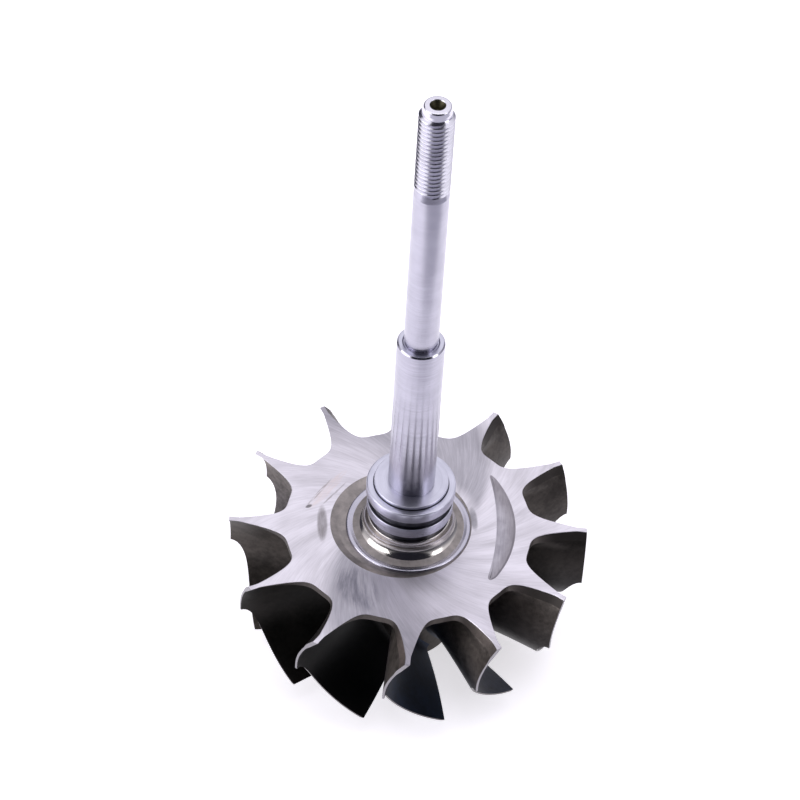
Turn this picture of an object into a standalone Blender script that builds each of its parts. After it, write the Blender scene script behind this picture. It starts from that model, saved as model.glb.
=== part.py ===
"""Turbine wheel and shaft of a turbocharger, standing on its nose.

The wheel is a casting with twelve blades on a scalloped back disc. The shaft is
turned steel, welded to the neck in the middle of the back face. Lengths are in
millimetres and are turned into metres where the meshes are made. Heights along
the shaft are counted from the back face of the disc, upwards to the threaded
end. The origin is the middle of the nose's flat end, and +Z runs up the shaft.
"""
import math

import bmesh
import bpy

MM = 0.001
SEAM = 0.3              # clearance between solids that touch
NOSE_DEPTH = 28.0       # from the back face down to the flat end of the nose

BLADES = 12
BLADE_PITCH = 360.0 / BLADES
FIRST_BLADE_ANGLE = 2.44
WHEEL_RADIUS = 34.0

DISC_THICKNESS = 1.5
SCALLOP_DEPTH = 10.6
SCALLOP_HALF_ANGLE = 14.7
SCALLOP_SQUARENESS = 4.0
SCALLOP_FULLNESS = 1.12
SCALLOP_LEAN = 0.15     # degrees for each millimetre in from the tips
ARM_TIP_HALF_ANGLE = 0.85
ARM_LEAN_REACH = 5.0    # from the scallop's floor out to where an arm leans with its blade
SCALLOP_STEPS = 12

RECESS_RADIUS = 13.4
RECESS_CENTRE = (-1.1, 0.3)
RECESS_DEPTH = 0.6
RECESS_SLOPE = 0.5

HUB_RIM_RADIUS = 22.9
HUB_NECK_RADIUS = 9.9
HUB_DEPTH = 24.0
HUB_STEPS = 12
NOSE_TOP = 26.1
NOSE_EDGE_RADIUS = 0.4

INLET_DEPTH = 10.6      # length of the blades' outer, upright edges
OUTLET_RADIUS = 29.6
OUTLET_DEPTH = 23.2
OUTLET_ROOT_DEPTH = 25.9
OUTLET_BOW = 0.5        # how far the outlet edge is bowed upwards between its two ends
WRAP_LEVEL = 9.71       # depth at which the blades lean the most
WRAP_LEAN = -6.84       # degrees of lean at that depth
WRAP_OUTLET = 15.6      # degrees of wrap at the outlet
WRAP_POWER = 2.45
BLADE_TIP_THICKNESS = 0.5
BLADE_ROOT_THICKNESS = 1.5
OUTLET_TAPER = 0.3      # share of the wall that is lost on the way to the outlet
OUTLET_SET_BACK = 0.7   # shift of the wall at the outlet, as a share of half its thickness
ARM_FILLET = 1.8        # under the disc's arms, where the blades run into them
INLET_ROWS = 5
INLET_ROW_SPREAD = 1.6  # rows lie closer together under the arm
SHROUD_ROWS = 7
BLADE_COLUMNS = 4

RIM_RADIUS = 11.3
RIM_LIP = 0.25
DISH_RADIUS = 9.0
DISH_RISE = 0.4
NECK_RADIUS = 7.9
NECK_TOP = 3.8

RELIEF_RADIUS = 7.2
LOWER_LAND_RADIUS = 8.15
LOWER_LAND_BOTTOM = 5.5
LOWER_LAND_TOP = 7.8
RING_GROOVE_RADIUS = 7.4
FLANGE_RADIUS = 8.4
FLANGE_BOTTOM = 9.9
FLANGE_TOP = 12.1
STEP_RADIUS = 7.0
STEP_TOP = 12.9
BOSS_CHAMFER = 0.25
SOCKET_DEPTH = 1.0      # depth to which each shaft solid is set into the one below

JOURNAL_RADIUS = 4.4
JOURNAL_TOP = 50.45
JOURNAL_CHAMFER = 0.3
SEAT_RADIUS = 3.175
SEAT_BASE_RELIEF = 0.12
SEAT_RELIEF_LENGTH = 0.8
SEAT_TOP = 88.9
SEAT_TAPER_LENGTH = 1.4
SEAT_TOP_RADIUS = 2.75

THREAD_PITCH = 0.907
THREAD_ROOT_RADIUS = 2.62
CREST_WIDTH = THREAD_PITCH / 8
ROOT_WIDTH = THREAD_PITCH / 4
THREAD_STEPS = 16
SHAFT_END = 107.95
END_SHAPE = ((106.3, SEAT_RADIUS), (106.75, 2.62), (107.5, 2.5), (SHAFT_END, 2.05))
CENTRE_HOLE_RADIUS = 1.35
PILOT_RADIUS = 0.5
CENTRE_CONE_DEPTH = 1.56
PILOT_DEPTH = 3.4

ROUND_STEPS = 48
HUB_ROUND_STEPS = 60
MERGE = 1e-6
SHARP_ANGLE = math.radians(32)

CAST_ALLOY = ((0.26, 0.24, 0.23), 0.45)
GROUND_FACE = ((0.62, 0.60, 0.60), 0.38)
POLISHED_ALLOY = ((0.66, 0.63, 0.60), 0.22)
GROUND_STEEL = ((0.70, 0.69, 0.75), 0.30)


def clear_scene():
    """Remove every object, so that only the part is left."""
    for old in list(bpy.data.objects):
        bpy.data.objects.remove(old, do_unlink=True)


def metal(name, finish):
    """Return a metal material with the colour and roughness of a finish."""
    colour, roughness = finish
    made = bpy.data.materials.new(name)
    made.use_nodes = True
    shader = made.node_tree.nodes["Principled BSDF"]
    shader.inputs["Base Color"].default_value = (*colour, 1.0)
    shader.inputs["Roughness"].default_value = roughness
    shader.inputs["Metallic"].default_value = 1.0
    made.diffuse_color = (*colour, 1.0)
    return made


def height(level):
    """Height in metres above the nose's end of a level given from the back face."""
    return (NOSE_DEPTH + level) * MM


def place(radius, angle, level):
    """Point in metres from a radius, an angle in degrees and a level."""
    turn = math.radians(angle)
    return (radius * MM * math.cos(turn), radius * MM * math.sin(turn), height(level))


def finish_object(name, shape, finish):
    """Close the edit, shade the round faces smooth and link the object."""
    bmesh.ops.recalc_face_normals(shape, faces=shape.faces)
    mesh = bpy.data.meshes.new(name)
    shape.to_mesh(mesh)
    shape.free()
    mesh.shade_smooth()
    mesh.set_sharp_from_angle(angle=SHARP_ANGLE)
    mesh.materials.append(metal(name + "_metal", finish))
    made = bpy.data.objects.new(name, mesh)
    bpy.context.scene.collection.objects.link(made)
    return made


def turned(name, profile, finish, steps=ROUND_STEPS):
    """Spin a profile of (radius, level) points, both ends on the axis, into a solid."""
    shape = bmesh.new()
    points = [shape.verts.new((radius * MM, 0.0, height(level))) for radius, level in profile]
    edges = [shape.edges.new(pair) for pair in zip(points, points[1:])]
    bmesh.ops.spin(shape, geom=points + edges, cent=(0, 0, 0), axis=(0, 0, 1), angle=math.tau,
                   steps=steps, use_merge=True, use_duplicate=False)
    bmesh.ops.remove_doubles(shape, verts=shape.verts, dist=MERGE)
    return finish_object(name, shape, finish)


def bridge(shape, lower, upper, closed=True):
    """Join two rows of the same number of points with quads."""
    count = len(lower)
    for index in range(count if closed else count - 1):
        after = (index + 1) % count
        shape.faces.new((lower[index], lower[after], upper[after], upper[index]))


def blade_angle(index):
    """Angle in degrees at which a blade meets the back face."""
    return FIRST_BLADE_ANGLE + BLADE_PITCH * index


def wrap_angle(level):
    """Degrees by which a blade has turned round the axis at a level."""
    above = max(0.0, (level + WRAP_LEVEL) / WRAP_LEVEL)
    below = max(0.0, (-level - WRAP_LEVEL) / (OUTLET_DEPTH - WRAP_LEVEL))
    return WRAP_LEAN * (1 - above ** 2) + (WRAP_OUTLET - WRAP_LEAN) * below ** WRAP_POWER


def arm_edges(radius):
    """Degrees from a blade's angle to the two edges of its arm, behind and ahead."""
    cut = WHEEL_RADIUS - radius
    depth = min(1.0, cut / SCALLOP_DEPTH) ** SCALLOP_FULLNESS
    across = SCALLOP_HALF_ANGLE * (1 - depth) ** (1 / SCALLOP_SQUARENESS)
    half = BLADE_PITCH / 2 - min(across, BLADE_PITCH / 2 - ARM_TIP_HALF_ANGLE)
    return SCALLOP_LEAN * cut - half, SCALLOP_LEAN * cut + half


def arm_lean(radius, level):
    """Degrees by which an arm's sides have turned with the blade at a level."""
    out = max(0.0, radius - WHEEL_RADIUS + SCALLOP_DEPTH) / ARM_LEAN_REACH
    return wrap_angle(level) * math.sqrt(min(1.0, out))


def scallop_outline():
    """Radius and angle of the disc's edge, scallop by scallop, all the way round."""
    outline = []
    tip_limit = BLADE_PITCH / 2 - ARM_TIP_HALF_ANGLE
    for index in range(BLADES):
        middle = blade_angle(index) + BLADE_PITCH / 2
        for step in range(SCALLOP_STEPS + 1):
            across = math.sin(math.pi * (step / SCALLOP_STEPS - 0.5))
            depth = 1 - abs(across) ** SCALLOP_SQUARENESS
            cut = SCALLOP_DEPTH * max(depth, 0.0) ** (1 / SCALLOP_FULLNESS)
            side = max(-tip_limit, min(tip_limit, SCALLOP_HALF_ANGLE * across))
            outline.append((WHEEL_RADIUS - cut, middle + side + SCALLOP_LEAN * cut))
    return outline


def back_disc():
    """The scalloped plate, open in the middle, with the off-centre recess round the rim."""
    outline = scallop_outline()
    hole = RIM_RADIUS + SEAM

    def round_loop(radius, level, centre=(0.0, 0.0)):
        loop = []
        for _, angle in outline:
            x, y, z = place(radius, angle, level)
            loop.append((x + centre[0] * MM, y + centre[1] * MM, z))
        return loop

    loops = [
        round_loop(hole, -DISC_THICKNESS),
        [place(radius, angle + arm_lean(radius, -DISC_THICKNESS), -DISC_THICKNESS)
         for radius, angle in outline],
        [place(radius, angle, 0.0) for radius, angle in outline],
        round_loop(RECESS_RADIUS, 0.0, RECESS_CENTRE),
        round_loop(RECESS_RADIUS - RECESS_SLOPE, -RECESS_DEPTH, RECESS_CENTRE),
        round_loop(hole, -RECESS_DEPTH),
    ]
    shape = bmesh.new()
    rows = [[shape.verts.new(point) for point in loop] for loop in loops]
    for lower, upper in zip(rows, rows[1:] + rows[:1]):
        bridge(shape, lower, upper)
    return finish_object("back_disc", shape, GROUND_FACE)


def hub_curve(sweep, offset=0.0):
    """Radius and level on the hub's sweep, 0 at the disc and 1 at the nose."""
    turn = math.radians(90 * (1 - sweep))
    reach = HUB_RIM_RADIUS - HUB_NECK_RADIUS
    drop = HUB_DEPTH - DISC_THICKNESS - SEAM - offset
    return (HUB_RIM_RADIUS + offset - reach * math.cos(turn), drop * math.sin(turn) - HUB_DEPTH)


def hub():
    """The casting's core, swept from under the back disc down to the nose."""
    top = -(DISC_THICKNESS + SEAM)
    sweep = [hub_curve(step / HUB_STEPS) for step in range(HUB_STEPS + 1)]
    profile = [(0.0, top)] + sweep + [(HUB_NECK_RADIUS, -NOSE_TOP), (0.0, -NOSE_TOP)]
    return turned("hub", profile, CAST_ALLOY, HUB_ROUND_STEPS)


def nose():
    """The round end of the casting, with the flat face on which the wheel stands."""
    profile = [(0.0, -NOSE_TOP - SEAM), (HUB_NECK_RADIUS, -NOSE_TOP - SEAM)]
    for step in range(5):
        turn = math.radians(90 * step / 4)
        profile.append((HUB_NECK_RADIUS - NOSE_EDGE_RADIUS * (1 - math.cos(turn)),
                        NOSE_EDGE_RADIUS * (1 - math.sin(turn)) - NOSE_DEPTH))
    profile.append((0.0, -NOSE_DEPTH))
    return turned("nose", profile, CAST_ALLOY, HUB_ROUND_STEPS)


def blade_slope(radius, level):
    """Lean of a blade from the upright at a point, as an angle in radians."""
    span = 0.05
    turn = math.radians(wrap_angle(level + span) - wrap_angle(level - span)) / (2 * span)
    return math.atan(radius * turn)


def blade_tip(row):
    """Radius and level of a row's outer end, on the inlet edge and then on the shroud line."""
    top = DISC_THICKNESS + SEAM
    if row <= INLET_ROWS:
        return WHEEL_RADIUS, -top - (INLET_DEPTH - top) * (row / INLET_ROWS) ** INLET_ROW_SPREAD
    turn = math.pi / 2 * (row - INLET_ROWS) / SHROUD_ROWS
    drop = (OUTLET_DEPTH - INLET_DEPTH) * (1 - math.cos(turn))
    return WHEEL_RADIUS - (WHEEL_RADIUS - OUTLET_RADIUS) * math.sin(turn), -INLET_DEPTH - drop


def blade_root(row):
    """Radius and level of a row's inner end, just clear of the hub."""
    rows = INLET_ROWS + SHROUD_ROWS
    if row == rows:
        return HUB_NECK_RADIUS + SEAM, -OUTLET_ROOT_DEPTH
    return hub_curve((row / (rows - 1)) ** INLET_ROW_SPREAD, SEAM)


def blade_sides(radius, level, out):
    """Degrees from the blade's angle to its two faces, at a share out of its height."""
    below = min(1.0, max(0.0, (-level - WRAP_LEVEL) / (OUTLET_DEPTH - WRAP_LEVEL)))
    wall = BLADE_ROOT_THICKNESS + (BLADE_TIP_THICKNESS - BLADE_ROOT_THICKNESS) * out ** 0.5
    wall *= 1 - OUTLET_TAPER * below
    half = math.degrees(wall / 2 / math.cos(blade_slope(radius, level)) / radius)
    middle = wrap_angle(level) - OUTLET_SET_BACK * below * half
    near_arm = max(0.0, 1 + (level + DISC_THICKNESS) / ARM_FILLET)
    flare = math.degrees(ARM_FILLET * (1 - math.sqrt(1 - near_arm ** 2)) / radius)
    behind, ahead = (edge + arm_lean(radius, level) for edge in arm_edges(radius))
    low, high = middle - half, middle + half
    return min(low, max(low - flare, behind)), max(high, min(high + flare, ahead))


def blade(index):
    """One blade: rows of points from hub to tip, given a thickness round the axis."""
    start, rows = blade_angle(index), INLET_ROWS + SHROUD_ROWS
    faces = ([], [])
    for row in range(rows + 1):
        root, tip = blade_root(row), blade_tip(row)
        bow = 1 - OUTLET_BOW * (row / rows) ** 4
        lines = ([], [])
        for column in range(BLADE_COLUMNS + 1):
            out = column / BLADE_COLUMNS
            radius = root[0] + (tip[0] - root[0]) * out
            level = root[1] + (tip[1] - root[1]) * out ** bow
            for line, side in zip(lines, blade_sides(radius, level, out)):
                line.append(place(radius, start + side, level))
        faces[0].append(lines[0])
        faces[1].append(lines[1])
    shape = bmesh.new()
    grids = [[[shape.verts.new(point) for point in line] for line in face] for face in faces]
    for grid in grids:
        for lower, upper in zip(grid, grid[1:]):
            bridge(shape, lower, upper, closed=False)
    edges = []
    for grid in grids:
        down = [line[-1] for line in grid]
        up = [line[0] for line in reversed(grid)]
        edges.append(grid[0] + down[1:] + grid[-1][-2::-1] + up[1:-1])
    bridge(shape, *edges)
    return finish_object(f"blade_{index + 1:02d}", shape, CAST_ALLOY)


def weld_neck():
    """Rim, shallow dish and neck in the middle of the back face, up to the weld."""
    profile = [(0.0, -DISC_THICKNESS), (RIM_RADIUS, -DISC_THICKNESS), (RIM_RADIUS, -RIM_LIP),
               (RIM_RADIUS - RIM_LIP, 0.0), (DISH_RADIUS, DISH_RISE)]
    fillet = DISH_RADIUS - NECK_RADIUS
    for step in range(1, 5):
        turn = math.radians(90 * step / 4)
        profile.append((DISH_RADIUS - fillet * math.sin(turn),
                        DISH_RISE + fillet * (1 - math.cos(turn))))
    profile += [(NECK_RADIUS, NECK_TOP), (0.0, NECK_TOP)]
    return turned("weld_neck", profile, POLISHED_ALLOY)


def seal_boss():
    """Weld relief, lower land, ring groove, flange and thrust step, in steel."""
    edge = BOSS_CHAMFER
    profile = [
        (0.0, NECK_TOP + SEAM), (RELIEF_RADIUS, NECK_TOP + SEAM),
        (RELIEF_RADIUS, LOWER_LAND_BOTTOM), (LOWER_LAND_RADIUS, LOWER_LAND_BOTTOM),
        (LOWER_LAND_RADIUS, LOWER_LAND_TOP), (RING_GROOVE_RADIUS, LOWER_LAND_TOP),
        (RING_GROOVE_RADIUS, FLANGE_BOTTOM), (FLANGE_RADIUS - edge, FLANGE_BOTTOM),
        (FLANGE_RADIUS, FLANGE_BOTTOM + edge), (FLANGE_RADIUS, FLANGE_TOP - edge),
        (FLANGE_RADIUS - edge, FLANGE_TOP), (STEP_RADIUS, FLANGE_TOP),
        (STEP_RADIUS, STEP_TOP), (JOURNAL_RADIUS + SEAM, STEP_TOP),
        (JOURNAL_RADIUS + SEAM, STEP_TOP - SOCKET_DEPTH), (0.0, STEP_TOP - SOCKET_DEPTH),
    ]
    return turned("seal_boss", profile, GROUND_STEEL)


def journal():
    """The bearing journal, chamfered at the shoulder that carries the thrust parts."""
    edge = JOURNAL_CHAMFER
    foot = STEP_TOP - SOCKET_DEPTH + SEAM
    socket = SEAT_RADIUS + SEAM
    profile = [(0.0, foot), (JOURNAL_RADIUS, foot),
               (JOURNAL_RADIUS, JOURNAL_TOP - edge), (JOURNAL_RADIUS - edge, JOURNAL_TOP),
               (socket, JOURNAL_TOP), (socket, JOURNAL_TOP - SOCKET_DEPTH),
               (0.0, JOURNAL_TOP - SOCKET_DEPTH)]
    return turned("journal", profile, GROUND_STEEL)


def compressor_seat():
    """The slim shaft for the compressor wheel, relieved at its foot and tapered up to the thread."""
    foot = JOURNAL_TOP - SOCKET_DEPTH + SEAM
    low = SEAT_RADIUS - SEAT_BASE_RELIEF
    relief_top = JOURNAL_TOP + SEAT_RELIEF_LENGTH
    profile = [(0.0, foot), (low, foot), (low, relief_top),
               (SEAT_RADIUS, relief_top + SEAT_BASE_RELIEF),
               (SEAT_RADIUS, SEAT_TOP - SEAT_TAPER_LENGTH), (SEAT_TOP_RADIUS, SEAT_TOP), (0.0, SEAT_TOP)]
    return turned("compressor_seat", profile, GROUND_STEEL)


def rim_edges(shape, level):
    """Edges of the open rim that lies at a level."""
    target = height(level)
    return [edge for edge in shape.edges if edge.is_boundary
            and all(abs(vert.co.z - target) < MERGE for vert in edge.verts)]


def extend_rim(shape, edges, radius, level):
    """Extrude an open rim to a new radius and level, and return its new edges."""
    made = bmesh.ops.extrude_edge_only(shape, edges=edges)["geom"]
    for vert in (item for item in made if isinstance(item, bmesh.types.BMVert)):
        scale = radius * MM / math.hypot(vert.co.x, vert.co.y)
        vert.co = (vert.co.x * scale, vert.co.y * scale, height(level))
    return [item for item in made if isinstance(item, bmesh.types.BMEdge)]


def end_radius(level):
    """Radius of the plain, chamfered end above the thread at a level."""
    for (low, wide), (high, narrow) in zip(END_SHAPE, END_SHAPE[1:]):
        if level <= high:
            return wide + (narrow - wide) * max(0.0, level - low) / (high - low)
    return END_SHAPE[-1][1]


def threaded_end():
    """The thread, spun up the shaft turn by turn, cut square, with the drilled end."""
    base = SEAT_TOP + SEAM
    flank = (THREAD_PITCH - CREST_WIDTH - ROOT_WIDTH) / 2
    profile = [(SEAT_RADIUS, 0.0), (SEAT_RADIUS, CREST_WIDTH),
               (THREAD_ROOT_RADIUS, CREST_WIDTH + flank),
               (THREAD_ROOT_RADIUS, CREST_WIDTH + flank + ROOT_WIDTH),
               (SEAT_RADIUS, THREAD_PITCH)]
    turns = math.ceil((SHAFT_END - base) / THREAD_PITCH) + 2
    shape = bmesh.new()
    start = base - 1.5 * THREAD_PITCH
    points = [shape.verts.new((radius * MM, 0.0, height(start + rise))) for radius, rise in profile]
    edges = [shape.edges.new(pair) for pair in zip(points, points[1:])]
    bmesh.ops.spin(shape, geom=points + edges, cent=(0, 0, 0), axis=(0, 0, 1),
                   dvec=(0, 0, THREAD_PITCH * MM / THREAD_STEPS), angle=math.tau * turns,
                   steps=THREAD_STEPS * turns, use_duplicate=False)
    bmesh.ops.remove_doubles(shape, verts=shape.verts, dist=MERGE)
    for vert in shape.verts:
        radius = math.hypot(vert.co.x, vert.co.y) / MM
        scale = min(1.0, end_radius(vert.co.z / MM - NOSE_DEPTH) / radius)
        vert.co.x *= scale
        vert.co.y *= scale
    for level, side in ((base, -1), (SHAFT_END, 1)):
        bmesh.ops.bisect_plane(shape, geom=shape.verts[:] + shape.edges[:] + shape.faces[:],
                               plane_co=(0, 0, height(level)), plane_no=(0, 0, side),
                               clear_outer=True, dist=MERGE)
    rim = extend_rim(shape, rim_edges(shape, SHAFT_END), CENTRE_HOLE_RADIUS, SHAFT_END)
    rim = extend_rim(shape, rim, PILOT_RADIUS, SHAFT_END - CENTRE_CONE_DEPTH)
    extend_rim(shape, rim, PILOT_RADIUS, SHAFT_END - PILOT_DEPTH)
    bmesh.ops.holes_fill(shape, edges=[edge for edge in shape.edges if edge.is_boundary])
    return finish_object("threaded_end", shape, GROUND_STEEL)


def main():
    """Build the casting and then the shaft, from the nose upwards."""
    clear_scene()
    nose()
    hub()
    back_disc()
    for index in range(BLADES):
        blade(index)
    weld_neck()
    seal_boss()
    journal()
    compressor_seat()
    threaded_end()


main()
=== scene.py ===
"""Dressed model of a turbocharger's turbine wheel and shaft, standing on its nose.

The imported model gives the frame. Every piece here stands for one of its nodes and
is drawn much finer: the casting with its scalloped back disc, twelve blades, hub and
nose, and the turned shaft with its seal boss, journal, compressor seat and thread.

Lengths are in millimetres until a mesh is made. Levels along the shaft are counted
from the back face of the disc, upwards to the threaded end.
"""
from __future__ import annotations

import logging
from dataclasses import dataclass
from enum import Enum
from math import atan, ceil, cos, degrees, dist, exp, hypot, pi, radians, sin, sqrt, tan, tau
from typing import Callable, Sequence, Union

import bpy
from bpy.types import Material, Mesh, MeshPolygon, Node, NodeSocket, NodeTree, Object
from mathutils import Matrix, Vector


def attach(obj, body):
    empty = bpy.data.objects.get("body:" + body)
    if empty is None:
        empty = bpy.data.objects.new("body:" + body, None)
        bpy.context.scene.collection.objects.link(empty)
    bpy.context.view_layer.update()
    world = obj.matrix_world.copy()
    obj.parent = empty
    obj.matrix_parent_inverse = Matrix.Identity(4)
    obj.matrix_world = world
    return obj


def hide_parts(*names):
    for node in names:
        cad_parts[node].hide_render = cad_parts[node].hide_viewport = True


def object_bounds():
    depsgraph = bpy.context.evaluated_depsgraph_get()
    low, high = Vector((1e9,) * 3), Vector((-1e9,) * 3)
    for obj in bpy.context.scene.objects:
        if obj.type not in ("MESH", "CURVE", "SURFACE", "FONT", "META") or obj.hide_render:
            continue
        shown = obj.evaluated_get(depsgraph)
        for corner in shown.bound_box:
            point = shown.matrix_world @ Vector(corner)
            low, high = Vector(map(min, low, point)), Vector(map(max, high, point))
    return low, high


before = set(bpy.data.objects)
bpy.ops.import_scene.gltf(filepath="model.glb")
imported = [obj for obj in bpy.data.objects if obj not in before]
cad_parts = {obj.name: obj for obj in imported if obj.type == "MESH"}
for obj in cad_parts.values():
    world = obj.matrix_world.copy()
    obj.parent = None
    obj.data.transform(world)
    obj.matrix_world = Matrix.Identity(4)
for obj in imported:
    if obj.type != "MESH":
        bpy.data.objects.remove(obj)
CAD_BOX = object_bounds()

LOG = logging.getLogger("turbine_wheel")

MM = 0.001
NOSE_DEPTH = 28.0
WHEEL_RADIUS = 33.99
BLADES = 12
BLADE_PITCH = 360.0 / BLADES
FIRST_BLADE_ANGLE = 2.44
DISC_THICKNESS = 1.5
RIM_RADIUS = 11.5
HUB_NECK_RADIUS = 9.9
NOSE_TOP = 26.1
NECK_RADIUS = 7.9
NECK_TOP = 3.8
JOURNAL_RADIUS = 4.4
JOURNAL_TOP = 50.45
SEAT_RADIUS = 3.175
STEP_TOP = 12.9
SEAT_TOP = 88.9
SHAFT_END = 107.95

ROUND_STEPS = 160
MERGE = 1e-7
FLAT = 0.9999
EDGE_ANGLE = radians(35)

# For each blade, painted light: how much lighter or darker its tone is painted by the disc
# and by the outlet, and how strongly a painted bluish reflection covers its lower half.
BLADE_PAINTED_LIGHT = ((0.75, 0.8, 0.1), (1.35, 1.2, 0.0), (1.5, 1.4, 0.0), (1.3, 1.2, 0.0),
          (2.2, 2.0, 0.0), (3.6, 3.0, 0.1), (1.6, 1.4, 0.0), (0.35, 0.3, 0.0),
          (0.1, 0.08, 0.0), (2.6, 0.6, 1.0), (2.7, 1.0, 0.6), (1.9, 1.4, 0.1))

Point = tuple[float, float]
Triple = tuple[float, float, float]
Colour = tuple[float, float, float, float]
Number = Union[float, "Signal"]
Chooser = Callable[[MeshPolygon], int]


class Slot(Enum):
    """The record's material slots."""

    CAST = "as_cast_alloy"
    FACE = "brushed_back_face"
    NECK = "polished_neck"
    STEEL = "ground_shaft_steel"


def clamp(share: float) -> float:
    """Return a share held between 0 and 1."""
    return min(1.0, max(0.0, share))


def height(level: float) -> float:
    """Return the height in metres above the floor of a level given in millimetres."""
    return (NOSE_DEPTH + level) * MM


def place(radius: float, angle: float, level: float) -> Vector:
    """Return the point in metres at a radius, an angle in degrees and a level."""
    turn = radians(angle)
    return Vector((radius * MM * cos(turn), radius * MM * sin(turn), height(level)))


def blade_angle(index: int) -> float:
    """Return the angle in degrees at which a blade meets the back face."""
    return FIRST_BLADE_ANGLE + BLADE_PITCH * index


def radius_of(point: Vector) -> float:
    """Return a point's distance from the shaft's axis in millimetres."""
    return hypot(point.x, point.y) / MM


def level_of(point: Vector) -> float:
    """Return a point's level above the back face in millimetres."""
    return point.z / MM - NOSE_DEPTH


def clear_selection() -> None:
    """Deselect every object, because an operator acts on all that is selected."""
    bpy.ops.object.select_all(action="DESELECT")


def select_only(piece: Object) -> None:
    """Select one object and make it active."""
    clear_selection()
    piece.select_set(True)
    bpy.context.view_layer.objects.active = piece


def edit_all() -> None:
    """Enter edit mode with the whole of the active mesh selected."""
    bpy.ops.object.mode_set(mode="EDIT")
    bpy.ops.mesh.select_all(action="SELECT")


def apply_modifier(piece: Object, kind: str, **settings: object) -> None:
    """Add a modifier with its settings to a piece, and apply it."""
    select_only(piece)
    modifier = piece.modifiers.new(kind, kind)
    for name, value in settings.items():
        setattr(modifier, name, value)
    bpy.ops.object.modifier_apply(modifier=modifier.name)


def named(name: str) -> Object:
    """Name the object that an operator has just added, and return it."""
    made = bpy.context.object
    made.name = made.data.name = name
    return made


def rest_at_origin() -> None:
    """Put the active object's place, turn and size into its mesh."""
    bpy.ops.object.transform_apply(location=True, rotation=True, scale=True)


def enclosed_volume(mesh: Mesh) -> float:
    """Return the volume inside a closed mesh, negative where its faces point inwards."""
    volume = 0.0
    for face in mesh.polygons:
        first, *others = (mesh.vertices[index].co for index in face.vertices)
        volume += sum(first.dot(here.cross(after)) for here, after in zip(others, others[1:])) / 6
    return volume


def tidy_skin() -> None:
    """Merge the active mesh's doubles, point its faces outwards and leave edit mode."""
    edit_all()
    bpy.ops.mesh.remove_doubles(threshold=MERGE)
    bpy.ops.mesh.normals_make_consistent(inside=False)
    bpy.ops.object.mode_set(mode="OBJECT")
    if enclosed_volume(bpy.context.object.data) < 0:
        edit_all()
        bpy.ops.mesh.flip_normals()
        bpy.ops.object.mode_set(mode="OBJECT")


def extrude(rise: float) -> None:
    """Extrude the selected faces straight up by a rise in metres."""
    bpy.ops.mesh.extrude_region_move(TRANSFORM_OT_translate={"value": (0, 0, rise)})


def draw_loop(name: str, points: Sequence[Sequence[float]], fill: str = "NGON") -> Object:
    """Draw a closed loop through points given in metres, filled unless told otherwise."""
    clear_selection()
    bpy.ops.mesh.primitive_circle_add(vertices=len(points), radius=1.0, fill_type=fill)
    loop = named(name)
    for vertex, point in zip(loop.data.vertices, points):
        vertex.co = point
    return loop


def draw_line(name: str, points: Sequence[Sequence[float]]) -> Object:
    """Draw an open line through points given in metres.

    Args:
        name: The new object's name.
        points: The places that the line runs through.

    Returns:
        The line's object, active and in object mode.
    """
    line = draw_loop(name, points, "NOTHING")
    ends = {0, len(points) - 1}
    bpy.ops.object.mode_set(mode="EDIT")
    bpy.ops.mesh.select_all(action="DESELECT")
    bpy.ops.mesh.select_mode(type="EDGE")
    bpy.ops.object.mode_set(mode="OBJECT")
    for edge in line.data.edges:
        edge.select = set(edge.vertices) == ends
    bpy.ops.object.mode_set(mode="EDIT")
    bpy.ops.mesh.delete(type="EDGE")
    bpy.ops.mesh.select_mode(type="VERT")
    bpy.ops.object.mode_set(mode="OBJECT")
    return line


def turn_piece(name: str, profile: Sequence[Point], steps: int = ROUND_STEPS) -> Object:
    """Spin a profile round the shaft's axis into a closed solid, as on a lathe.

    Args:
        name: The piece's name.
        profile: Radius and level of each point, with both ends on the axis.
        steps: The number of flats all the way round.

    Returns:
        The turned piece.
    """
    piece = draw_line(name, [(radius * MM, 0.0, height(level)) for radius, level in profile])
    edit_all()
    bpy.ops.mesh.spin(steps=steps, angle=tau, center=(0, 0, 0), axis=(0, 0, 1))
    tidy_skin()
    return piece


def ease_corners(corners: Sequence[Triple], steps: int = 5) -> list[Point]:
    """Round the corners of a profile.

    Args:
        corners: Radius, level and rounding of each corner.
        steps: The number of flats on each rounding.

    Returns:
        The profile with an arc in place of each rounded corner.
    """
    eased: list[Point] = []
    for index, (radius, level, rounding) in enumerate(corners):
        here = Vector((radius, level))
        if rounding <= 0 or index in (0, len(corners) - 1):
            eased.append((radius, level))
            continue
        before = (Vector(corners[index - 1][:2]) - here).normalized()
        after = (Vector(corners[index + 1][:2]) - here).normalized()
        half = before.angle(after) / 2
        centre = here + (before + after).normalized() * (rounding / sin(half))
        start = here + before * (rounding / tan(half)) - centre
        end = here + after * (rounding / tan(half)) - centre
        sweep = start.angle(end)
        for step in range(steps + 1):
            turn = sweep * step / steps
            spoke = (start * sin(sweep - turn) + end * sin(turn)) / sin(sweep)
            eased.append(tuple(centre + spoke))
    return eased


def cut_away(piece: Object, cutter: Object) -> None:
    """Cut one solid out of another, and remove the cutter."""
    apply_modifier(piece, "BOOLEAN", operation="DIFFERENCE", object=cutter)
    bpy.data.objects.remove(cutter, do_unlink=True)


def shade(piece: Object, angle: float = EDGE_ANGLE) -> None:
    """Shade the round faces smooth and keep the edges crisp."""
    select_only(piece)
    bpy.ops.object.shade_smooth_by_angle(angle=angle)


def dress(piece: Object, finishes: Sequence[Material], choose: Chooser | None = None) -> None:
    """Give a piece its finishes.

    Args:
        piece: The piece to dress.
        finishes: The materials, the main one first.
        choose: Gives the number of a face's finish, where there is more than one.
    """
    piece.data.materials.clear()
    for finish in finishes:
        piece.data.materials.append(finish)
    if choose is not None:
        for face in piece.data.polygons:
            face.material_index = choose(face)


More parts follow.
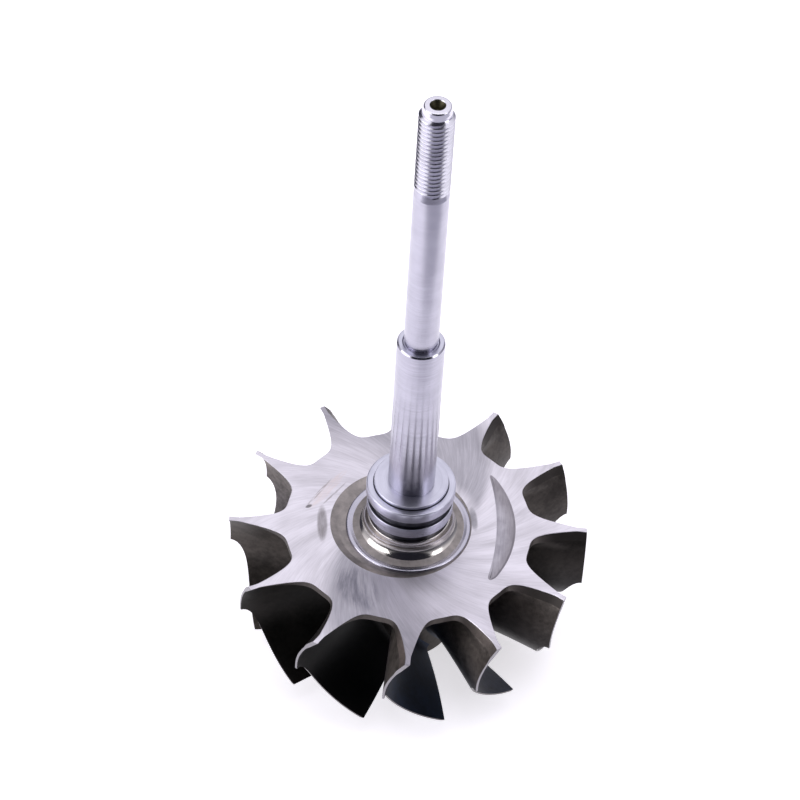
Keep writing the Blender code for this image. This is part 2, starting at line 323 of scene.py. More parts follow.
def mount_piece(piece: Object, node: str) -> None:
    """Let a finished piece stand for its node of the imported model."""
    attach(piece, "root")
    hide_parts(node)
    LOG.info("%s: %d faces", piece.name, len(piece.data.polygons))


def finish_piece(piece: Object, finishes: Sequence[Material], node: str,
                 choose: Chooser | None = None) -> None:
    """Shade and dress a piece, and let it stand for its node."""
    shade(piece)
    dress(piece, finishes, choose)
    mount_piece(piece, node)


class Signal:
    """A shader socket that takes part in arithmetic."""

    def __init__(self, bench: NodeBench, socket: NodeSocket) -> None:
        """Hold the socket and the bench that its tree belongs to."""
        self.bench = bench
        self.socket = socket

    def __add__(self, other: Number) -> Signal:
        """Return the sum."""
        return self.bench.maths("ADD", self, other)

    __radd__ = __add__

    def __sub__(self, other: Number) -> Signal:
        """Return the difference."""
        return self.bench.maths("SUBTRACT", self, other)

    def __rsub__(self, other: Number) -> Signal:
        """Return the difference the other way round."""
        return self.bench.maths("SUBTRACT", other, self)

    def __mul__(self, other: Number) -> Signal:
        """Return the product."""
        return self.bench.maths("MULTIPLY", self, other)

    __rmul__ = __mul__

    def __truediv__(self, other: Number) -> Signal:
        """Return the quotient."""
        return self.bench.maths("DIVIDE", self, other)

    def __pow__(self, other: Number) -> Signal:
        """Return the power."""
        return self.bench.maths("POWER", self, other)

    def between(self, low: float, high: float) -> Signal:
        """Return a smooth step, 0 at low and 1 at high."""
        step = self.bench.node("ShaderNodeMapRange", {"interpolation_type": "SMOOTHSTEP"},
                               {0: self, 1: low, 2: high, 3: 0.0, 4: 1.0})
        return Signal(self.bench, step.outputs[0])


class NodeBench:
    """A node tree, and the few ways in which nodes are added to it."""

    def __init__(self, tree: NodeTree) -> None:
        """Hold the tree to build in."""
        self.tree = tree

    def node(self, kind: str, settings: dict[str, object] | None = None,
             sockets: dict[int | str, object] | None = None) -> Node:
        """Add a node.

        Args:
            kind: The node's type.
            settings: Its properties, set before the sockets.
            sockets: A value or a signal for each input, by number or name.

        Returns:
            The new node.
        """
        made = self.tree.nodes.new(kind)
        for name, value in (settings or {}).items():
            setattr(made, name, value)
        self.wire(made, sockets or {})
        return made

    def wire(self, target: Node, sockets: dict[int | str, object]) -> None:
        """Give each of a node's inputs, by number or name, its value or signal."""
        for name, value in sockets.items():
            if isinstance(value, Signal):
                self.tree.links.new(value.socket, target.inputs[name])
            else:
                target.inputs[name].default_value = value

    def where(self, space: str) -> Signal:
        """Return the place that is shaded, in one of the spaces of Texture Coordinate."""
        return Signal(self, self.node("ShaderNodeTexCoord").outputs[space])

    def split(self, vector: Signal) -> list[Signal]:
        """Return the three values of a vector."""
        parts = self.node("ShaderNodeSeparateXYZ", None, {0: vector})
        return [Signal(self, socket) for socket in parts.outputs]

    def maths(self, operation: str, *values: Number) -> Signal:
        """Return the result of a Math node."""
        made = self.node("ShaderNodeMath", {"operation": operation}, dict(enumerate(values)))
        return Signal(self, made.outputs[0])

    def vector(self, x: Number, y: Number, z: Number) -> Signal:
        """Return a vector of three values."""
        return Signal(self, self.node("ShaderNodeCombineXYZ", None, {0: x, 1: y, 2: z}).outputs[0])

    def blend(self, share: Number, first: object, second: object) -> Signal:
        """Return a colour between two colours."""
        made = self.node("ShaderNodeMix", {"data_type": "RGBA"}, {0: share, 6: first, 7: second})
        return Signal(self, made.outputs[2])

    def noise(self, vector: Signal, scale: float, detail: float = 2.0, rough: float = 0.5) -> Signal:
        """Return smooth noise from 0 to 1 at the places of a vector."""
        made = self.node("ShaderNodeTexNoise", {"noise_dimensions": "3D"},
                         {"Vector": vector, "Scale": scale, "Detail": detail, "Roughness": rough})
        return Signal(self, made.outputs[0])

    def bump(self, relief: Signal, depth: float) -> Signal:
        """Return a normal for a relief from 0 to 1 of a depth in millimetres."""
        made = self.node("ShaderNodeBump", None,
                         {"Strength": 1.0, "Distance": depth * MM, "Height": relief})
        return Signal(self, made.outputs[0])


def rgb(red: float, green: float, blue: float) -> Colour:
    """Return an opaque colour."""
    return (red, green, blue, 1.0)


class MetalBench(NodeBench):
    """A metal's node tree, with the place on the part in millimetres."""

    def __init__(self, name: str, anisotropy: float = 0.0, grain: float = 0.0) -> None:
        """Start a material with a Principled shader and read the object's coordinates.

        Args:
            name: The material's name.
            anisotropy: How far the shine is drawn out along the grain.
            grain: The grain's direction, as a share of a turn.
        """
        self.material = bpy.data.materials.new(name)
        self.material.use_nodes = True
        super().__init__(self.material.node_tree)
        self.shader = self.tree.nodes["Principled BSDF"]
        self.wire(self.shader, {"Anisotropic": anisotropy, "Anisotropic Rotation": grain})
        scaled = self.node("ShaderNodeVectorMath", {"operation": "SCALE"},
                           {0: self.where("Object"), "Scale": 1 / MM})
        self.position = Signal(self, scaled.outputs[0])
        self.x, self.y, self.z = self.split(self.position)
        self.radius = (self.x * self.x + self.y * self.y) ** 0.5
        self.angle = self.maths("ARCTAN2", self.y, self.x)

    def finish(self, colour: Signal, metallic: Number, roughness: Number,
               normal: Signal) -> Material:
        """Wire the shader's main inputs and return the material."""
        self.wire(self.shader, {"Base Color": colour, "Metallic": metallic, "Roughness": roughness,
                                "Normal": normal})
        return self.material

    def spot(self, x: float, y: float, long: float, wide: float, turn: float) -> Signal:
        """Return a soft oval mask on the back face.

        Args:
            x: The middle, in millimetres along X.
            y: The middle, in millimetres along Y.
            long: Half the oval's length.
            wide: Half the oval's width.
            turn: The direction of its length, in degrees.

        Returns:
            A mask that is 1 inside the oval and fades to 0 at its edge.
        """
        cosine, sine = cos(radians(turn)), sin(radians(turn))
        across, up = self.x - x, self.y - y
        along = (across * cosine + up * sine) / long
        aside = (up * cosine - across * sine) / wide
        return 1 - (along * along + aside * aside).between(0.35, 1.2)


@dataclass(frozen=True)
class BrushedFace:
    """The ground back face, with fine scratches that swirl out from the neck."""

    swirl: float = 0.6
    bright: Colour = rgb(0.80, 0.77, 0.84)
    dull: Colour = rgb(0.50, 0.48, 0.52)

    def make(self) -> Material:
        """Build the material."""
        bench = MetalBench("brushed_back_face", anisotropy=0.8, grain=0.914)
        reach = bench.maths("LOGARITHM", bench.radius, exp(1))
        turn = bench.angle - self.swirl * reach
        east, north = bench.maths("COSINE", turn), bench.maths("SINE", turn)
        fine = bench.noise(bench.vector(east * 60, north * 60, bench.radius * 0.22), 1.0, 4.0, 0.7)
        broad = bench.noise(bench.vector(east * 7, north * 7, bench.radius * 0.10), 1.0, 2.0)
        cloud = bench.noise(bench.position, 0.10, 3.0)
        worn = fine * 0.34 + broad * 0.42 + cloud * 0.24
        tone = bench.blend(worn.between(0.30, 0.74), self.bright, self.dull)
        # Painted shade: two dark wedges laid into the face's colour.
        shadow = self.painted_shade_wedges(bench, reach)
        tone = bench.blend(shadow * (0.42 + fine * 0.5), tone, rgb(0.22, 0.215, 0.25))
        # A dark patch at the lower left, streaked along the brushing: partly a smudge, which also roughens
        # the face, and partly painted shade.
        patch_streaks = bench.noise(bench.vector(east * 13, north * 13, bench.radius * 0.16), 1.0, 4.0, 0.65)
        smudge_and_shade = bench.spot(-8.6, -16.6, 6.0, 4.0, -60) * patch_streaks.between(0.36, 0.70)
        tone = bench.blend(smudge_and_shade * 0.58, tone, rgb(0.11, 0.11, 0.15))
        tone = self.marks(bench, tone)
        rough = 0.27 + fine * 0.14 + smudge_and_shade * 0.12
        return bench.finish(tone, 1.0, rough, bench.bump(fine, 0.012))

    def painted_shade_wedges(self, bench: MetalBench, reach: Signal) -> Signal:
        """Return a mask of the two darker wedges that fan out from the rim: painted shade, standing in for
        the dark reflection of the shaft and the surround in the brushed face.
        """
        near = bench.angle - 0.82 * reach + 4.763
        near = near.between(-0.16, 0.08) * (1 - near.between(0.25, 1.1))
        far = bench.angle - reach + 2.26
        far = far.between(-0.08, 0.08) * (1 - far.between(0.9, 1.4)) * 0.85
        return (near + far) * bench.radius.between(12.0, 15.0)

    def marks(self, bench: MetalBench, tone: Signal) -> Signal:
        """Add the patch, streak, scratches and nick left of the rim, and the scuff right of it."""
        grain = bench.noise(bench.vector(bench.x * 3.4, bench.y * 0.5, bench.z), 1.0, 3.0, 0.6)
        patch = bench.spot(-16.3, -1.2, 4.6, 1.05, 94) * (0.45 + grain * 0.75)
        slant = bench.noise(bench.vector(bench.x * 2.6 - bench.y * 1.9, bench.x * 0.2 + bench.y * 0.3, 0.0),
                            1.0, 3.0, 0.6)
        streak = bench.spot(-15.9, 7.4, 6.2, 1.1, 57)
        scratch = bench.spot(-17.6, 6.2, 5.0, 0.28, 60) + bench.spot(-14.4, 6.6, 4.6, 0.22, 55)
        nick = bench.spot(-19.1, 2.9, 0.75, 0.4, 35)
        rub = bench.noise(bench.position, 0.45, 1.0)
        scuff = bench.spot(12.3, 2.4, 3.0, 0.8, 99) * (0.25 + rub * 0.9)
        for share, colour in ((streak * slant.between(0.30, 0.62) * 0.42, rgb(0.70, 0.58, 0.55)),
                              (scratch * slant.between(0.35, 0.6) * 0.6, rgb(0.24, 0.22, 0.22)),
                              (patch * 0.85, rgb(0.19, 0.175, 0.18)),
                              (scuff * 0.9, rgb(0.10, 0.10, 0.115)),
                              (nick * 0.8, rgb(0.10, 0.095, 0.10))):
            tone = bench.blend(share, tone, colour)
        return tone


def ground_cut() -> Material:
    """Make the duller grinding in the balance cut, painted darker towards its outer arc."""
    bench = MetalBench("balance_cut", anisotropy=0.3)
    lines = bench.noise(bench.vector(bench.x * 2.4, bench.y * 0.35, bench.z), 1.0, 3.0)
    haze = bench.noise(bench.position, 0.35, 3.0)
    # Painted shade: the colour darkens towards the outer arc, where the cut's floor slopes up to its wall.
    edge = (bench.radius + bench.y * 0.05).between(17.5, 20.3)
    tone = bench.blend((lines * 0.5 + haze * 0.5).between(0.30, 0.70),
                       rgb(0.31, 0.295, 0.335), rgb(0.50, 0.48, 0.53))
    tone = bench.blend(edge * 0.5, tone, rgb(0.20, 0.18, 0.19))
    return bench.finish(tone, 1.0, 0.34 + lines * 0.15, bench.bump(lines, 0.01))


@dataclass(frozen=True)
class AsCast:
    """Nickel alloy as it comes from the mould, dark, satin and mottled, with painted light and a painted
    bluish reflection laid over it.
    """

    name: str
    # Painted light: how much lighter or darker the tone is painted near the disc (upper) and near the outlet
    # (lower), and how strongly the painted bluish reflection shows low down.
    upper: float = 1.0
    lower: float = 1.0
    blue: float = 0.0
    dark: Triple = (0.020, 0.017, 0.015)
    light: Triple = (0.062, 0.054, 0.048)
    # Colour factors of the painted bluish reflection.
    reflection_tint: Triple = (0.40, 0.85, 2.1)

    def make(self) -> Material:
        """Build the material."""
        bench = MetalBench(self.name)
        mottle = bench.noise(bench.position, 0.16, 4.0, 0.6)
        sand = bench.noise(bench.position, 4.5, 3.0, 0.6)
        pits = bench.noise(bench.position, 1.3, 2.0, 0.5)
        share = (mottle * 0.7 + pits * 0.3).between(0.3, 0.7)
        # Painted light: the upper part's mottled tone, scaled lighter or darker.
        above = bench.blend(share, *(rgb(*(self.upper * part for part in tone))
                                     for tone in (self.dark, self.light)))
        # Painted reflection: the lower part's tone, scaled and tinted bluish as if reflecting the surround.
        reflection_tints = [self.lower * (1 + (tint - 1) * self.blue) for tint in self.reflection_tint]
        below = bench.blend(share, *(rgb(*(part * tint for part, tint in zip(tone, reflection_tints)))
                                     for tone in (self.dark, self.light)))
        # Painted light: the tone changes with height from the lower part to the upper part.
        tone = bench.blend(bench.z.between(NOSE_DEPTH - 15.0, NOSE_DEPTH - 4.0), below, above)
        relief = sand * 0.6 + pits * 0.4
        return bench.finish(tone, 0.75, 0.38 + mottle * 0.16, bench.bump(relief, 0.02))


def clean_cast() -> Material:
    """Make the brownish grey skin of the casting in the recess and inside the rim."""
    bench = MetalBench("clean_cast_alloy")
    mottle = bench.noise(bench.position, 0.5, 4.0, 0.6)
    tone = bench.blend(mottle.between(0.3, 0.75), rgb(0.31, 0.282, 0.273), rgb(0.21, 0.195, 0.19))
    return bench.finish(tone, 1.0, 0.34 + mottle * 0.14, bench.bump(mottle, 0.02))


def scallop_wall() -> Material:
    """Make the disc's edge: dark on the arms and greyer on a scallop's floor, with painted light: a lighter
    brownish tone on the walls at the front.
    """
    floor, arm, lit_brownish = rgb(0.085, 0.074, 0.068), rgb(0.040, 0.035, 0.032), rgb(0.20, 0.165, 0.148)
    floor_radius, fade_radius = 24.0, 28.5
    bench = MetalBench("scallop_wall")
    mottle = bench.noise(bench.position, 0.9, 4.0, 0.6)
    out = bench.radius.between(floor_radius, fade_radius)
    # Painted light: two soft patches at the front where the walls are painted lighter and brownish, as if
    # lit.
    painted_light_patches = bench.spot(-2.0, -29.0, 7.0, 7.0, 0) + bench.spot(11.0, -28.0, 7.5, 7.5, 0) * 0.4
    tone = bench.blend(out, floor, bench.blend(painted_light_patches, arm, lit_brownish))
    tone = bench.blend(mottle.between(0.35, 0.75) * 0.4, tone, rgb(0.05, 0.043, 0.039))
    return bench.finish(tone, 0.8, 0.42 + mottle * 0.14, bench.bump(mottle, 0.02))


def machined_edge() -> Material:
    """Make the turned edge of the blades' inlet and shroud line: bright at the inlet, and darkened by
    painted shade further down.
    """
    bench = MetalBench("machined_edge")
    lines = bench.noise(bench.vector(bench.x * 0.2, bench.y * 0.2, bench.z * 7), 1.0, 2.0)
    tone = bench.blend(lines, rgb(0.32, 0.31, 0.33), rgb(0.22, 0.21, 0.22))
    # Painted shade: below the inlet the edge is darkened, where it faces away from the light.
    shroud = 1 - bench.z.between(15.0, 17.8)
    tone = bench.blend(shroud, tone, rgb(0.17, 0.16, 0.16))
    return bench.finish(tone, 1.0, 0.30, bench.bump(lines, 0.006))


@dataclass(frozen=True)
class TurnedMetal:
    """Metal turned or ground round the shaft's axis, with fine rings of tool marks."""

    name: str
    bright: Colour
    dull: Colour
    roughness: float
    depth: float
    anisotropy: float = 0.8
    rings: float = 3.5

    def make(self) -> Material:
        """Build the material."""
        bench = MetalBench(self.name, anisotropy=self.anisotropy, grain=0.25)
        rings = bench.noise(bench.vector(bench.x * 0.05, bench.y * 0.05,
                                         (bench.z + bench.radius) * self.rings), 1.0, 3.0, 0.6)
        haze = bench.noise(bench.position, 0.25, 3.0)
        worn = rings * 0.5 + haze * 0.5
        tone = bench.blend(worn.between(0.32, 0.7), self.bright, self.dull)
        rough = self.roughness + (rings - 0.5) * 0.10
        return bench.finish(tone, 1.0, rough, bench.bump(rings, self.depth))


class Finishes:
    """All the finishes of the part."""

    def __init__(self) -> None:
        """Make every material."""
        self.face = BrushedFace().make()
        self.cut = ground_cut()
        self.cast = AsCast("as_cast_alloy").make()
        self.blades = [AsCast(f"as_cast_blade_{index + 1:02d}", *blade_light).make()
                       for index, blade_light in enumerate(BLADE_PAINTED_LIGHT)]
        self.clean = clean_cast()
        self.wall = scallop_wall()
        self.edge = machined_edge()
        self.neck = TurnedMetal("polished_neck", rgb(0.66, 0.625, 0.59), rgb(0.50, 0.475, 0.45),
                                0.13, 0.002, 0.3, 2.2).make()
        self.steel = TurnedMetal("ground_shaft_steel", rgb(0.51, 0.50, 0.575),
                                 rgb(0.42, 0.41, 0.48), 0.20, 0.0012, 0.85).make()
        self.shoulder = TurnedMetal("turned_shoulder_steel", rgb(0.63, 0.63, 0.73),
                                    rgb(0.51, 0.51, 0.60), 0.29, 0.0015, 0.3).make()
        self.thread = TurnedMetal("rolled_thread_steel", rgb(0.76, 0.75, 0.83),
                                  rgb(0.62, 0.61, 0.68), 0.20, 0.001, 0.3).make()
        # Stain and painted shade: the boss's grooves and undercut are darkened, partly by wear and partly as
        # shade painted where little light reaches.
        self.groove = TurnedMetal("groove_stain_and_shade", rgb(0.15, 0.15, 0.18),
                                  rgb(0.08, 0.08, 0.09), 0.32, 0.002).make()
        self.bore = TurnedMetal("drilled_hole", rgb(0.13, 0.12, 0.07),
                                rgb(0.045, 0.04, 0.03), 0.45, 0.004, 0.0, 4.0).make()


@dataclass
class BladeForm:
    """The blades' shape: how they wrap, how thick they are and where they end."""

    inlet_depth: float = 10.6
    outlet_radius: float = 29.6
    outlet_depth: float = 23.2
    wrap_level: float = 9.71
    wrap_lean: float = -6.84
    wrap_outlet: float = 15.6
    wrap_power: float = 2.45
    tip_wall: float = 0.45
    root_wall: float = 1.45
    outlet_taper: float = 0.3
    set_back: float = 0.7
    outlet_bow: float = 0.5
    hub_rim_radius: float = 22.9
    hub_depth: float = 24.0
    arm_fillet: float = 1.8
    hub_fillet: float = 1.7
    embed: float = 0.25
    tuck: float = 0.05
    edge_ease: float = 0.05

    def wrap(self, level: float) -> float:
        """Return the degrees by which a blade has turned round the axis at a level."""
        above = max(0.0, (level + self.wrap_level) / self.wrap_level)
        below = max(0.0, (-level - self.wrap_level) / (self.outlet_depth - self.wrap_level))
        swing = self.wrap_outlet - self.wrap_lean
        return self.wrap_lean * (1 - above ** 2) + swing * below ** self.wrap_power

    def slope(self, radius: float, level: float) -> float:
        """Return a blade's lean from the upright at a point, in radians."""
        span = 0.05
        turn = radians(self.wrap(level + span) - self.wrap(level - span)) / (2 * span)
        return atan(radius * turn)

    def hub_line(self, sweep: float, offset: float = 0.0) -> Point:
        """Return radius and level on the hub's sweep, 0 at the disc and 1 at the nose."""
        turn = radians(90 * (1 - sweep))
        reach = self.hub_rim_radius - HUB_NECK_RADIUS
        drop = self.hub_depth - DISC_THICKNESS - offset
        return (self.hub_rim_radius + offset - reach * cos(turn),
                drop * sin(turn) - self.hub_depth)


@dataclass
class DiscForm:
    """The back disc's outline: twelve scallops with an arm between each two."""

    depth: float = 10.6
    half_angle: float = 14.7
    squareness: float = 4.0
    fullness: float = 1.12
    lean: float = 0.15
    tip_half_angle: float = 0.85
    lean_reach: float = 5.0
    steps: int = 44

    def arm_edges(self, radius: float) -> Point:
        """Return the degrees from a blade's angle to its arm's edges, behind and ahead."""
        cut = WHEEL_RADIUS - radius
        share = clamp(cut / self.depth) ** self.fullness
        across = self.half_angle * (1 - share) ** (1 / self.squareness)
        half = BLADE_PITCH / 2 - min(across, BLADE_PITCH / 2 - self.tip_half_angle)
        return self.lean * cut - half, self.lean * cut + half

    def arm_lean(self, blades: BladeForm, radius: float, level: float) -> float:
        """Return the degrees by which an arm's sides have turned at a level."""
        out = max(0.0, radius - WHEEL_RADIUS + self.depth) / self.lean_reach
        return blades.wrap(level) * sqrt(min(1.0, out))

    def outline(self) -> list[Point]:
        """Return radius and angle of the edge, scallop by scallop, all the way round."""
        points = []
        limit = BLADE_PITCH / 2 - self.tip_half_angle
        for index in range(BLADES):
            middle = blade_angle(index) + BLADE_PITCH / 2
            for step in range(self.steps + 1):
                across = sin(pi * (step / self.steps - 0.5))
                share = max(0.0, 1 - abs(across) ** self.squareness)
                cut = self.depth * share ** (1 / self.fullness)
                side = max(-limit, min(limit, self.half_angle * across))
                points.append((WHEEL_RADIUS - cut, middle + side + self.lean * cut))
        return points


@dataclass
class Casting:
    """The wheel: back disc, blades, hub, nose and weld neck."""

    finishes: Finishes
    blades: BladeForm
    disc: DiscForm
    recess_radius: float = 13.35
    recess_centre: Point = (-1.4, 0.1)
    recess_depth: float = 0.4
    disc_edge: float = 0.07
    disc_layers: int = 3
    stream_steps: int = 64
    stream_crowding: float = 1.35
    span_steps: int = 30
    span_crowding: float = 1.7

    def build(self) -> None:
        """Model every piece of the casting."""
        self.back_disc()
        for index in range(BLADES):
            self.blade(index)
        self.hub()
        self.nose()
        self.weld_neck()

    def back_disc(self) -> None:
        """Draw the scalloped plate, and cut the recess and the balance cut into it."""
        outline = [place(radius, angle, -DISC_THICKNESS) for radius, angle in self.disc.outline()]
        plate = draw_loop("back_disc_plate", outline)
        edit_all()
        for _ in range(self.disc_layers):
            extrude(DISC_THICKNESS / self.disc_layers * MM)
        bpy.ops.mesh.region_to_loop()
        bpy.ops.mesh.bevel(offset=self.disc_edge * MM, segments=2, affect="EDGES")
        tidy_skin()
        for vertex in plate.data.vertices:
            radius, level = radius_of(vertex.co), level_of(vertex.co)
            lean = self.disc.arm_lean(self.blades, radius, min(0.0, level))
            vertex.co = Matrix.Rotation(radians(lean), 3, "Z") @ vertex.co
        cut_away(plate, self.recess_cutter())
        cut_away(plate, self.balance_cutter())
        shade(plate, radians(30))
        for face in plate.data.polygons:
            face.use_smooth = abs(face.normal.z) < FLAT
        dress(plate, [self.finishes.face, self.finishes.cast, self.finishes.clean, self.finishes.cut,
                      self.finishes.edge, self.finishes.wall], self.choose_disc_finish)
        mount_piece(plate, "back_disc")

    def choose_disc_finish(self, face: MeshPolygon) -> int:
        """Return the number of the finish for a face of the disc."""
        radius, level = radius_of(face.center), level_of(face.center)
        recess_reach, cut_reach, skin = self.recess_radius + 1.5, 22.0, 0.01
        if level > -2 * skin or (level > -self.disc_edge - skin and radius > cut_reach):
            return 0
        if level < -DISC_THICKNESS + skin:
            return 1
        if radius < recess_reach:
            return 2
        if face.normal.z > 0.3 and radius < cut_reach:
            return 3
        outwards = face.normal.xy.dot(face.center.xy.normalized())
        return 4 if radius > WHEEL_RADIUS - 0.1 and outwards > 0.8 else 5

    def recess_cutter(self) -> Object:
        """Turn the shallow off-centre dish that the mould leaves round the rim."""
        wide, deep = self.recess_radius, -self.recess_depth
        profile = ease_corners([(0.0, deep, 0), (wide - 1.3, deep, 0.9), (wide - 0.1, -0.06, 0.5),
                                (wide + 0.15, 0.02, 0), (wide + 0.15, 1.0, 0), (0.0, 1.0, 0)])
        cutter = turn_piece("recess_cutter", profile, 144)
        for vertex in cutter.data.vertices:
            vertex.co.xy += Vector(self.recess_centre) * MM
        return cutter

    def balance_cutter(self) -> Object:
        """Draw the crescent that is ground out of the back face to balance the wheel."""
        start, end, steps, cap, deep, slope = -12.4, 13.8, 40, 1.0, 0.15, 0.42
        outer_centre, outer_radius = -1.8, 22.2
        inner_centre, inner_radius = -35.3, 52.1
        outer, inner = [], []
        for step in range(steps + 1):
            y = (start + end) / 2 - (end - start) / 2 * cos(pi * step / steps)
            right = outer_centre + sqrt(outer_radius ** 2 - y * y)
            left = inner_centre + sqrt(inner_radius ** 2 - y * y)
            near = min(1.0, (y - start) / cap, (end - y) / cap)
            half = (right - left) / 2 * sqrt(max(0.0, 1 - (1 - near) ** 2))
            outer.append(((left + right) / 2 + half, y))
            inner.insert(0, ((left + right) / 2 - half, y))
        cutter = draw_loop("balance_cutter", [(x * MM, y * MM, height(1.0)) for x, y in outer + inner[1:-1]])
        edit_all()
        extrude(-(1.0 + deep * 0.2) * MM)
        bpy.ops.mesh.inset(thickness=slope * MM, depth=0.0)
        bpy.ops.transform.translate(value=(0, 0, -deep * 0.8 * MM))
        tidy_skin()
        return cutter

    def outer_line(self, stream: float) -> Point:
        """Return radius and level of a blade's outer edge, from the disc to the outlet."""
        top, split = DISC_THICKNESS - 0.35, 0.36
        form = self.blades
        if stream <= split:
            return WHEEL_RADIUS, -top - (form.inlet_depth - top) * stream / split
        turn = pi / 2 * (stream - split) / (1 - split)
        return (WHEEL_RADIUS - (WHEEL_RADIUS - form.outlet_radius) * sin(turn),
                -form.inlet_depth - (form.outlet_depth - form.inlet_depth) * (1 - cos(turn)))

    def root_line(self, stream: float) -> Point:
        """Return radius and level of a blade's root, sunk a little into the hub."""
        form, sweep_end, root_end = self.blades, 0.92, 26.0
        if stream <= sweep_end:
            radius, level = form.hub_line(stream / sweep_end, -form.embed)
            return radius, min(level, -DISC_THICKNESS + 0.35)
        share = (stream - sweep_end) / (1 - sweep_end)
        return HUB_NECK_RADIUS - form.embed, -form.hub_depth - (root_end - form.hub_depth) * share

    def blade_point(self, index: int, stream: float, out: float, side: float) -> Vector:
        """Return a point of a blade's skin.

        Args:
            index: The blade's number, from 0.
            stream: 0 under the disc and 1 at the outlet.
            out: 0 at the hub and 1 at the outer edge.
            side: 0 on the face behind and 1 on the face ahead.

        Returns:
            The point in metres.
        """
        form = self.blades
        root, tip = self.root_line(stream), self.outer_line(stream)
        radius = root[0] + (tip[0] - root[0]) * out
        level = root[1] + (tip[1] - root[1]) * out ** (1 - form.outlet_bow * stream ** 4)
        span = dist(root, tip) * out
        below = clamp((-level - form.wrap_level) / (form.outlet_depth - form.wrap_level))
        wall = form.root_wall + (form.tip_wall - form.root_wall) * out ** 0.6
        wall *= 1 - form.outlet_taper * below
        near_hub = max(0.0, 1 - span / form.hub_fillet)
        near_arm = clamp(1 + (level + DISC_THICKNESS) / form.arm_fillet)
        half = degrees(wall / 2 / cos(form.slope(radius, level)) / radius)
        middle = form.wrap(level) - form.set_back * below * half
        half += degrees(form.hub_fillet * (1 - sqrt(1 - near_hub ** 2)) / radius)
        flare = degrees(form.arm_fillet * (1 - sqrt(1 - near_arm ** 2)) / radius)
        tuck = degrees(form.tuck / radius) if level > -DISC_THICKNESS + 0.02 else 0.0
        lean = self.disc.arm_lean(form, radius, level)
        behind, ahead = (edge + lean for edge in self.disc.arm_edges(radius))
        low = middle - half - self.ease_flare(flare, middle - half - behind) + tuck
        high = middle + half + self.ease_flare(flare, ahead - middle - half) - tuck
        return place(radius, blade_angle(index) + low + (high - low) * side, level)

    @staticmethod
    def ease_flare(flare: float, room: float) -> float:
        """Return a fillet's width, held softly within the room up to the arm's edge."""
        return room * (1 - exp(-flare / room)) if room > 1e-4 else 0.0

    def blade(self, index: int) -> None:
        """Draw a slab and bend it to one blade, with its fillets."""
        clear_selection()
        bpy.ops.mesh.primitive_grid_add(x_subdivisions=self.stream_steps, size=1.0,
                                        y_subdivisions=self.span_steps, location=(0.5, 0.5, 0))
        skin = named(f"blade_{index + 1:02d}_skin")
        rest_at_origin()
        edit_all()
        extrude(1)
        bpy.ops.object.mode_set(mode="OBJECT")
        outer = {vertex.index for vertex in skin.data.vertices if vertex.co.y > 0.999}
        rim = {face.index for face in skin.data.polygons if set(face.vertices) <= outer}
        for vertex in skin.data.vertices:
            stream = clamp(vertex.co.x) ** self.stream_crowding
            out = clamp(vertex.co.y) ** self.span_crowding
            vertex.co = self.blade_point(index, stream, out, round(vertex.co.z))
        tidy_skin()
        dress(skin, [self.finishes.blades[index], self.finishes.edge], lambda face: int(face.index in rim))
        apply_modifier(skin, "BEVEL", width=self.blades.edge_ease * MM, segments=1,
                       limit_method="ANGLE", angle_limit=radians(55))
        shade(skin, radians(40))
        mount_piece(skin, f"blade_{index + 1:02d}")

    def hub(self) -> None:
        """Turn the core of the casting, from under the disc down to the nose."""
        steps = 40
        sweep = [self.blades.hub_line(step / steps) for step in range(steps + 1)]
        rim = self.blades.hub_rim_radius + 0.45
        profile = [(0.0, -DISC_THICKNESS + 0.1), (rim, -DISC_THICKNESS + 0.1), (rim, -DISC_THICKNESS)]
        profile += sweep + [(HUB_NECK_RADIUS, -NOSE_TOP), (0.0, -NOSE_TOP)]
        finish_piece(turn_piece("hub_core", profile), [self.finishes.cast], "hub")

    def nose(self) -> None:
        """Turn the round end of the casting, flat where the wheel stands on it."""
        profile = ease_corners([(0.0, -NOSE_TOP, 0), (HUB_NECK_RADIUS, -NOSE_TOP, 0),
                                (HUB_NECK_RADIUS, -NOSE_DEPTH, 0.4), (0.0, -NOSE_DEPTH, 0)], 10)
        finish_piece(turn_piece("nose_end", profile), [self.finishes.cast], "nose")

    def weld_neck(self) -> None:
        """Turn the rim, the shallow dish inside it and the flared neck up to the weld."""
        foot_radius, foot_level, flare, sunk = 9.25, 0.3, 3.17, -1.2
        outside, inside = RIM_RADIUS + 0.37, RIM_RADIUS - 0.9
        sweep = [radians(35 + 55 * step / 24) for step in range(1, 25)]
        corners = [(0.0, sunk, 0), (outside, sunk, 0), (outside, -0.3, 0.1),
                   (RIM_RADIUS + 0.3, 0.1, 0.3), (RIM_RADIUS - 0.2, 0.22, 0.8),
                   (inside, -0.03, 0.25), (foot_radius, foot_level, 0.05)]
        corners += [(NECK_RADIUS + flare * (1 - sin(turn)), 2.9 - flare * cos(turn), 0)
                    for turn in sweep]
        corners += [(NECK_RADIUS, NECK_TOP, 0.2), (0.0, NECK_TOP, 0)]
        finish_piece(turn_piece("weld_neck_turned", ease_corners(corners, 8)),
                     [self.finishes.neck, self.finishes.clean, self.finishes.steel], "weld_neck",
                     lambda face: sum(radius_of(face.center) > reach for reach in (foot_radius, inside)))


